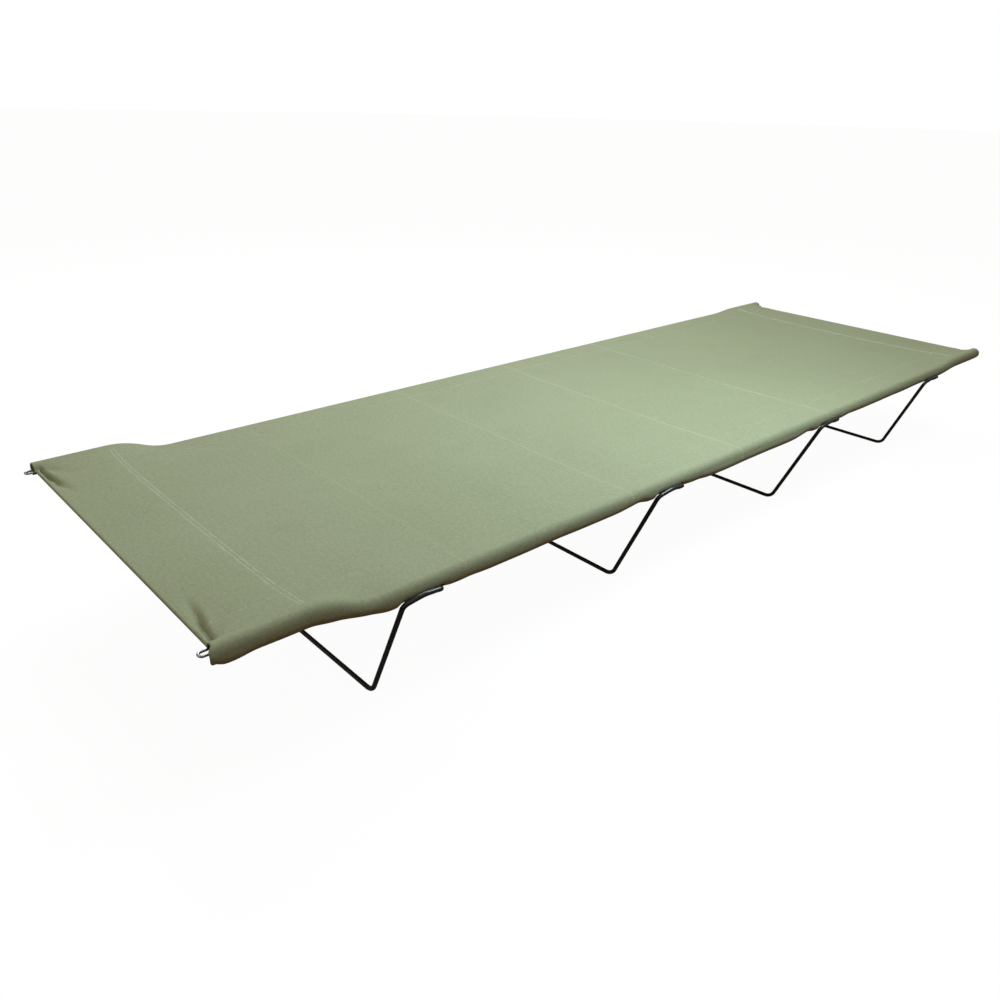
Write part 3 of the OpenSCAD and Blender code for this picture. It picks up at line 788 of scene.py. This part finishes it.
def zinc_material(name, colour, rough_low, rough_high, grain):
    """Zinc plate, drawn along X or Y, with dull patches."""
    m, n, bsdf = new_material(name)
    t = n.t
    pos = place_in(n)
    drawn = n.noise(n.scaled(pos, grain), 1.0, 3.0, 0.6)
    spangle = n.noise(pos, 110.0, 3.0, 0.7)
    tarnish = n.noise(pos, 22.0, 4.0, 0.65)
    dark = tuple(c * 0.72 for c in colour)
    brown = (colour[0] * 0.62, colour[1] * 0.52, colour[2] * 0.42)
    base = n.mix(n.spread(spangle, 0.35, 0.65), dark, colour)
    base = n.mix(n.math("MULTIPLY", n.spread(tarnish, 0.58, 0.8), 0.5), base, brown)
    t.links.new(base, bsdf.inputs["Base Color"])
    rough = n.math("ADD", n.math("MULTIPLY", drawn, 0.5), n.math("MULTIPLY", tarnish, 0.5))
    t.links.new(n.spread(rough, 0.3, 0.7, rough_low, rough_high), bsdf.inputs["Roughness"])
    bsdf.inputs["Metallic"].default_value = 1.0
    b = n.bump(drawn, 0.25, 0.0002)
    b = n.bump(spangle, 0.12, 0.0003, b)
    t.links.new(b, bsdf.inputs["Normal"])
    return m


def plug_material():
    m, n, bsdf = new_material("moulded_plug")
    t = n.t
    pos = place_in(n)
    grain = n.noise(pos, 1500.0, 2.0)
    scuff = n.noise(pos, 120.0, 4.0, 0.7)
    base = n.mix(n.spread(scuff, 0.45, 0.75), (0.020, 0.020, 0.021), (0.055, 0.054, 0.052))
    t.links.new(base, bsdf.inputs["Base Color"])
    t.links.new(n.spread(scuff, 0.3, 0.8, 0.42, 0.62), bsdf.inputs["Roughness"])
    t.links.new(n.bump(grain, 0.3, 0.0002), bsdf.inputs["Normal"])
    return m


enamel_mat = enamel_material()
tube_mat = zinc_material("zinc_tube", (0.66, 0.66, 0.65), 0.28, 0.48, (12.0, 500.0, 500.0))
wire_mat = zinc_material("zinc_wire", (0.60, 0.60, 0.58), 0.22, 0.40, (400.0, 14.0, 400.0))
plug_mat = plug_material()
canvas_mesh.materials.append(canvas_material())
stitching.data.materials.append(thread_material())
bindings.data.materials.append(binding_material())


def finish_node(name, material):
    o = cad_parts[name]
    if not o.material_slots:
        o.data.materials.append(material)
    for s in o.material_slots:
        s.link = "OBJECT"
        s.material = material


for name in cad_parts:
    if name.startswith("leg_"):
        finish_node(name, enamel_mat)
    elif "_pole_" in name:
        finish_node(name, tube_mat)
    elif name.endswith("_plug"):
        finish_node(name, plug_mat)
    elif name.endswith("_rod"):
        finish_node(name, wire_mat)

# ---------------------------------------------------------------- what moves with what
for piece in (canvas, stitching, bindings):
    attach(piece, "bed")
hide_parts("canvas_panel", "canvas_foot", "head_hem", "foot_hem",
            "near_sleeve_head", "near_sleeve_middle", "near_sleeve_foot",
            "far_sleeve_head", "far_sleeve_middle", "far_sleeve_foot")


# ---------------------------------------------------------------- floor, light and picture
def floor_material():
    """A pale floor, brought almost to white by its own glow so that no horizon shows."""
    m = bpy.data.materials.new("studio_floor")
    m.use_nodes = True
    t = m.node_tree
    t.nodes.clear()
    out = t.nodes.new("ShaderNodeOutputMaterial")
    both = t.nodes.new("ShaderNodeAddShader")
    glow = t.nodes.new("ShaderNodeEmission")
    glow.inputs["Color"].default_value = (1, 1, 1, 1)
    glow.inputs["Strength"].default_value = 0.965
    diffuse = t.nodes.new("ShaderNodeBsdfDiffuse")
    diffuse.inputs["Color"].default_value = (0.06, 0.06, 0.06, 1)
    t.links.new(glow.outputs[0], both.inputs[0])
    t.links.new(diffuse.outputs[0], both.inputs[1])
    t.links.new(both.outputs[0], out.inputs["Surface"])
    return m


FLOOR_SIDES = 48
FLOOR_RINGS = [1.5, 3, 6, 12, 25]
floor_v = []
floor_f = [tuple(range(FLOOR_SIDES))]
for r in FLOOR_RINGS:
    for k in range(FLOOR_SIDES):
        a = 2 * math.pi * k / FLOOR_SIDES
        floor_v.append((r * math.cos(a), r * math.sin(a), -0.0004))
for q in range(len(FLOOR_RINGS) - 1):
    inner, outer = q * FLOOR_SIDES, (q + 1) * FLOOR_SIDES
    for k in range(FLOOR_SIDES):
        after = (k + 1) % FLOOR_SIDES
        floor_f.append((inner + k, outer + k, outer + after, inner + after))
floor = mesh_object("floor", floor_v, floor_f, False)
floor.data.materials.append(floor_material())
floor.visible_diffuse = False
floor.visible_glossy = False
floor.visible_shadow = False

world = bpy.data.worlds.new("studio")
bpy.context.scene.world = world
world.use_nodes = True
wt = world.node_tree
wt.nodes.clear()
wn = Nodes(wt)
w_out = wt.nodes.new("ShaderNodeOutputWorld")
coord = wt.nodes.new("ShaderNodeTexCoord")
# Warm and dim from below, paler from above, and the backdrop behind it all white.
height = wn.spread(wn.split(coord.outputs["Generated"])[2], -0.10, 0.75)
sky = wn.mix(height, (0.112, 0.050, 0.020), (0.34, 0.31, 0.25))
grey = wn.mix(height, (0.060, 0.058, 0.054), (0.34, 0.335, 0.32))
path = wt.nodes.new("ShaderNodeLightPath")
sky = wn.mix(path.outputs["Is Glossy Ray"], sky, grey)
shade = wn.mix(path.outputs["Is Camera Ray"], sky, (1.0, 1.0, 1.0))
bg = wt.nodes.new("ShaderNodeBackground")
wt.links.new(shade, bg.inputs["Color"])
bg.inputs["Strength"].default_value = 1.0
wt.links.new(bg.outputs[0], w_out.inputs["Surface"])


def area_light(name, place, aim, size, power, colour):
    data = bpy.data.lights.new(name, "AREA")
    data.shape = "RECTANGLE"
    data.size, data.size_y = size
    data.energy = power
    data.color = colour
    o = bpy.data.objects.new(name, data)
    o.location = place
    o.rotation_euler = (Vector(aim) - Vector(place)).to_track_quat("-Z", "Y").to_euler()
    o.visible_camera = False
    bpy.context.scene.collection.objects.link(o)


area_light("key", (0.5, 1.5, 2.3), (0, 0, 0.2), (2.0, 1.4), 48, (0.89, 0.98, 1.0))
area_light("window", (0.08, -0.5, 0.95), (-0.07, 0.2, 0.2), (0.42, 0.30), 7.7, (0.73, 0.91, 1.0))
area_light("end", (-2.6, 0.2, 0.75), (-0.95, 0, 0.2), (1.6, 0.8), 4, (1.0, 0.98, 0.92))

scene = bpy.context.scene
scene.view_settings.view_transform = "Standard"
scene.view_settings.look = "None"
scene.view_settings.exposure = 0
scene.view_settings.gamma = 1
